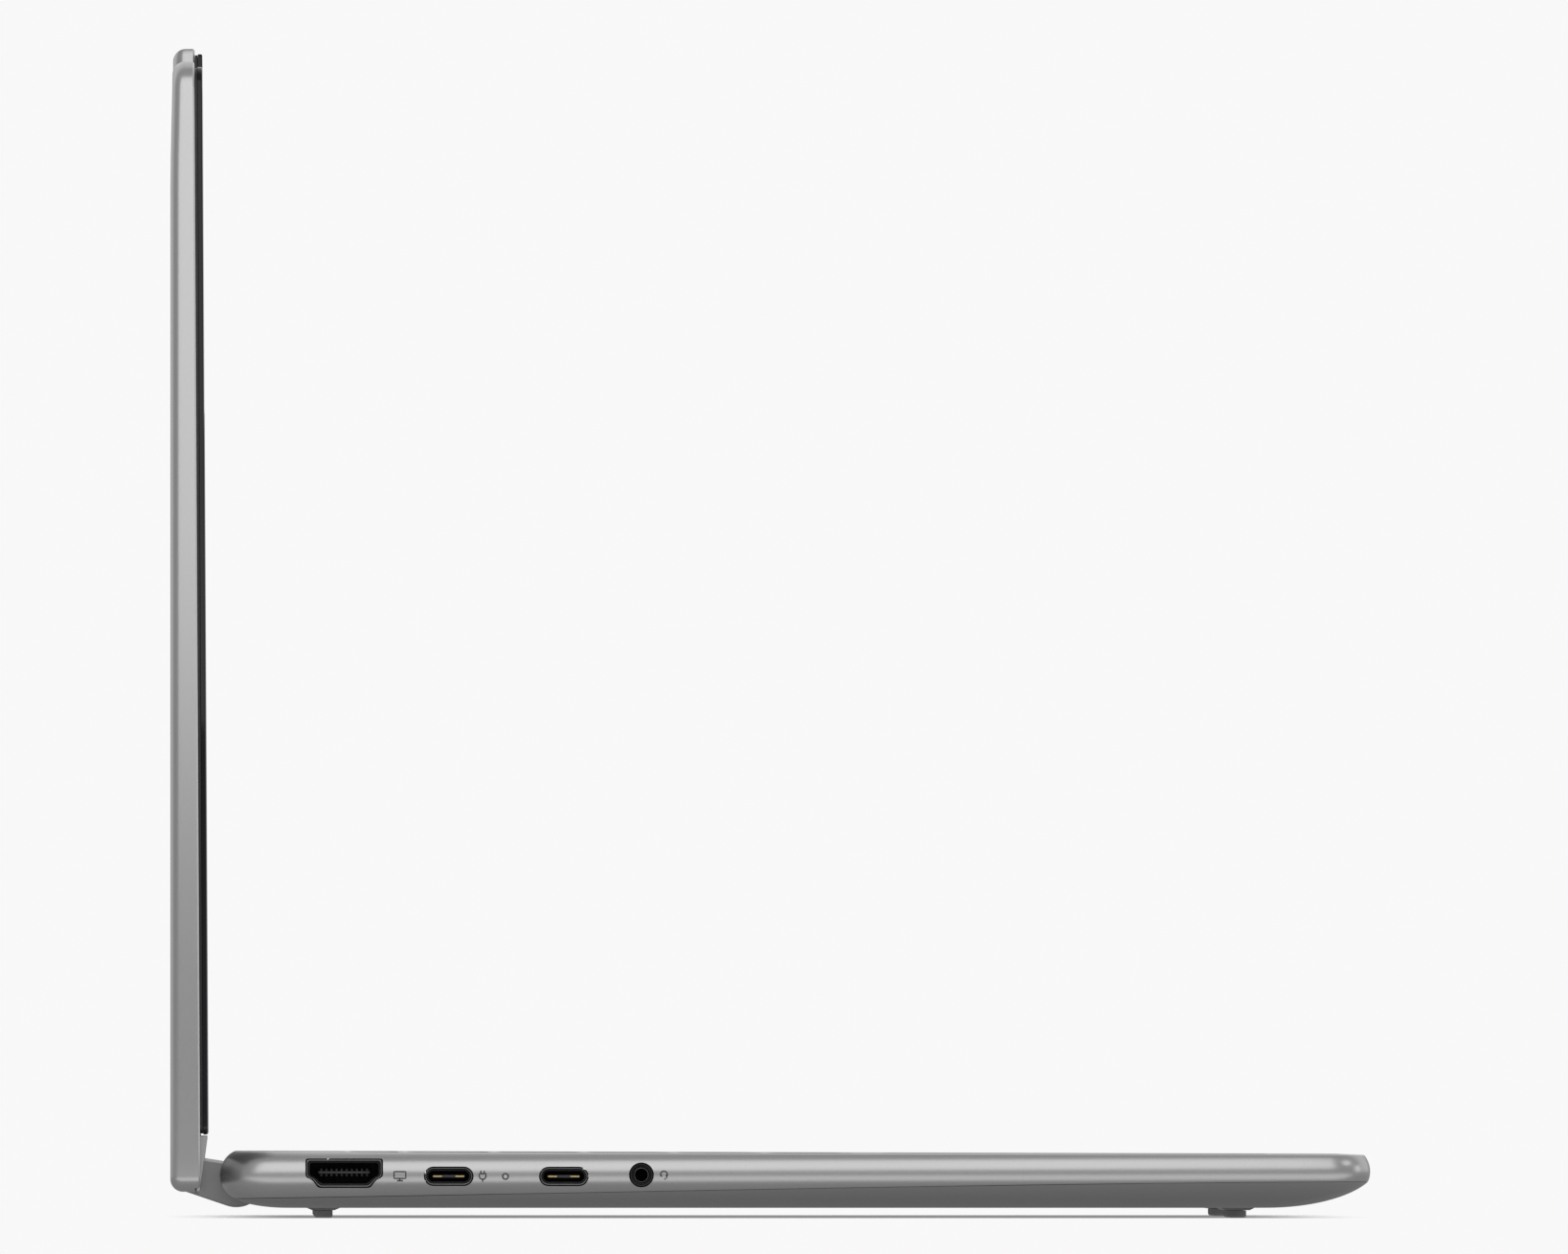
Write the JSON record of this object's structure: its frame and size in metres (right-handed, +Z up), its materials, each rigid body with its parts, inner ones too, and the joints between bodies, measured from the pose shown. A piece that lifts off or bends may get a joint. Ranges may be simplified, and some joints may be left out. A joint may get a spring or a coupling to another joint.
{
  "type": "laptop computer",
  "caption": "Thin metal convertible laptop, open at a right angle, whose two-axis hinge lets the lid turn right round under the base.",
  "frame": {"origin": "on the desk, under the centre of the open machine's bounding box", "axes": "+Z up from the desk, +Y towards the rear, where the lid is hinged, +X to the user's right along the hinge line"},
  "size_m": [0.313, 0.2367, 0.2325],
  "materials": {
    "case_metal": "fine blasted anodised aluminium, mid grey, satin",
    "cover_metal": "fine blasted anodised aluminium, a shade darker than the case",
    "hinge_metal": "satin anodised, same grey as the case",
    "steel": "plain stamped steel",
    "screw_steel": "black plated steel",
    "display_glass": "polished black display glass, opaque when off",
    "display_trim": "matte black plastic",
    "display_panel": "dark display panel",
    "key_plastic": "matte dark grey plastic, lightly textured",
    "touchpad_surface": "etched satin glass in the grey of the case",
    "black_plastic": "matte black moulded plastic",
    "foot_rubber": "matte dark grey rubber",
    "circuit_board": "green solder mask",
    "copper": "plain copper, satin",
    "battery_wrap": "matte black film",
    "light_pipe": "clear white light pipe, unlit"
  },
  "bodies": {
    "base": {"top_case": "case_metal", "bottom_cover": "cover_metal", "rear_foot": "foot_rubber", "front_foot_left": "foot_rubber", "front_foot_right": "foot_rubber", "mainboard": "circuit_board", "ssd": "circuit_board", "battery": "battery_wrap", "fan_housing": "black_plastic", "heat_pipe": "copper", "heat_sink": "copper", "speaker_left": "black_plastic", "speaker_right": "black_plastic", "video_port": "steel", "usb_c_port_rear": "steel", "usb_c_port_front": "steel", "usb_a_port_rear": "steel", "usb_a_port_front": "steel", "card_slot": "steel", "audio_jack": "black_plastic", "charge_led": "light_pipe", "base_hinge_bracket_left": "steel", "base_hinge_bracket_right": "steel", "keyboard_plate": "black_plastic", "bottom_screw_1": "screw_steel", "bottom_screw_2": "screw_steel", "bottom_screw_3": "screw_steel", "bottom_screw_4": "screw_steel", "bottom_screw_5": "screw_steel", "bottom_screw_6": "screw_steel"},
    "hinge_arms": {"hinge_arm_left": "hinge_metal", "hinge_arm_right": "hinge_metal", "lower_shaft_left": "steel", "lower_shaft_right": "steel", "upper_shaft_left": "steel", "upper_shaft_right": "steel"},
    "lid": {"lid_cover": "case_metal", "display_glass": "display_glass", "display_gasket": "display_trim", "lcd_panel": "display_panel", "lid_chin": "case_metal", "camera_module": "black_plastic", "lid_hinge_bracket_left": "steel", "lid_hinge_bracket_right": "steel"},
    "camera_shutter": {"camera_shutter": "display_trim"},
    "touchpad": {"touchpad": "touchpad_surface"},
    "power_button": {"power_button": "case_metal"},
    "fan_rotor": {"fan_rotor": "black_plastic"},
    "function_row_keys": {"function_row_keys": "key_plastic"},
    "number_row_keys": {"number_row_keys": "key_plastic"},
    "backspace_key": {"backspace_key": "key_plastic"},
    "tab_row_keys": {"tab_row_keys": "key_plastic"},
    "caps_row_keys": {"caps_row_keys": "key_plastic"},
    "enter_key": {"enter_key": "key_plastic"},
    "left_shift_key": {"left_shift_key": "key_plastic"},
    "shift_row_keys": {"shift_row_keys": "key_plastic"},
    "right_shift_key": {"right_shift_key": "key_plastic"},
    "bottom_left_keys": {"bottom_left_keys": "key_plastic"},
    "space_bar": {"space_bar": "key_plastic"},
    "bottom_right_keys": {"bottom_right_keys": "key_plastic"}
  },
  "joints": [
    {"name": "lower_hinge", "type": "hinge", "parent": "base", "child": "hinge_arms", "pos_m": [0, 0.10534, 0.00792], "axis": [-1, 0, 0], "range_deg": [-90.47, 90]},
    {"name": "upper_hinge", "type": "hinge", "parent": "hinge_arms", "child": "lid", "pos_m": [0, 0.11596, 0.00774], "axis": [-1, 0, 0], "range_deg": [0, 180]},
    {"name": "camera_shutter_slide", "type": "slide", "parent": "lid", "child": "camera_shutter", "axis": [-1, 0, 0], "range_m": [0, 0.007]},
    {"name": "touchpad_press", "type": "hinge", "parent": "base", "child": "touchpad", "pos_m": [0, -0.024, 0.012], "axis": [1, 0, 0], "range_deg": [0, 0.4], "stiffness_Nm_per_rad": 8, "springref_deg": -0.23},
    {"name": "power_button_press", "type": "slide", "parent": "base", "child": "power_button", "axis": [-1, 0, 0], "range_m": [0, 0.0004], "stiffness_N_per_m": 1500, "springref_m": -0.0003},
    {"name": "fan_spin", "type": "hinge", "parent": "base", "child": "fan_rotor", "pos_m": [-0.05, 0.06, 0.005], "axis": [0, 0, 1], "continuous": true},
    {"name": "function_row_keys_press", "type": "slide", "parent": "base", "child": "function_row_keys", "axis": [0, 0, -1], "range_m": [0, 0.0013], "stiffness_N_per_m": 1500, "springref_m": -0.001},
    {"name": "number_row_keys_press", "type": "slide", "parent": "base", "child": "number_row_keys", "axis": [0, 0, -1], "range_m": [0, 0.0013], "stiffness_N_per_m": 1500, "springref_m": -0.001},
    {"name": "backspace_key_press", "type": "slide", "parent": "base", "child": "backspace_key", "axis": [0, 0, -1], "range_m": [0, 0.0013], "stiffness_N_per_m": 500, "springref_m": -0.001},
    {"name": "tab_row_keys_press", "type": "slide", "parent": "base", "child": "tab_row_keys", "axis": [0, 0, -1], "range_m": [0, 0.0013], "stiffness_N_per_m": 1500, "springref_m": -0.001},
    {"name": "caps_row_keys_press", "type": "slide", "parent": "base", "child": "caps_row_keys", "axis": [0, 0, -1], "range_m": [0, 0.0013], "stiffness_N_per_m": 1500, "springref_m": -0.001},
    {"name": "enter_key_press", "type": "slide", "parent": "base", "child": "enter_key", "axis": [0, 0, -1], "range_m": [0, 0.0013], "stiffness_N_per_m": 500, "springref_m": -0.001},
    {"name": "left_shift_key_press", "type": "slide", "parent": "base", "child": "left_shift_key", "axis": [0, 0, -1], "range_m": [0, 0.0013], "stiffness_N_per_m": 500, "springref_m": -0.001},
    {"name": "shift_row_keys_press", "type": "slide", "parent": "base", "child": "shift_row_keys", "axis": [0, 0, -1], "range_m": [0, 0.0013], "stiffness_N_per_m": 1500, "springref_m": -0.001},
    {"name": "right_shift_key_press", "type": "slide", "parent": "base", "child": "right_shift_key", "axis": [0, 0, -1], "range_m": [0, 0.0013], "stiffness_N_per_m": 500, "springref_m": -0.001},
    {"name": "bottom_left_keys_press", "type": "slide", "parent": "base", "child": "bottom_left_keys", "axis": [0, 0, -1], "range_m": [0, 0.0013], "stiffness_N_per_m": 1500, "springref_m": -0.001},
    {"name": "space_bar_press", "type": "slide", "parent": "base", "child": "space_bar", "axis": [0, 0, -1], "range_m": [0, 0.0013], "stiffness_N_per_m": 500, "springref_m": -0.001},
    {"name": "bottom_right_keys_press", "type": "slide", "parent": "base", "child": "bottom_right_keys", "axis": [0, 0, -1], "range_m": [0, 0.0013], "stiffness_N_per_m": 1500, "springref_m": -0.001}
  ]
}
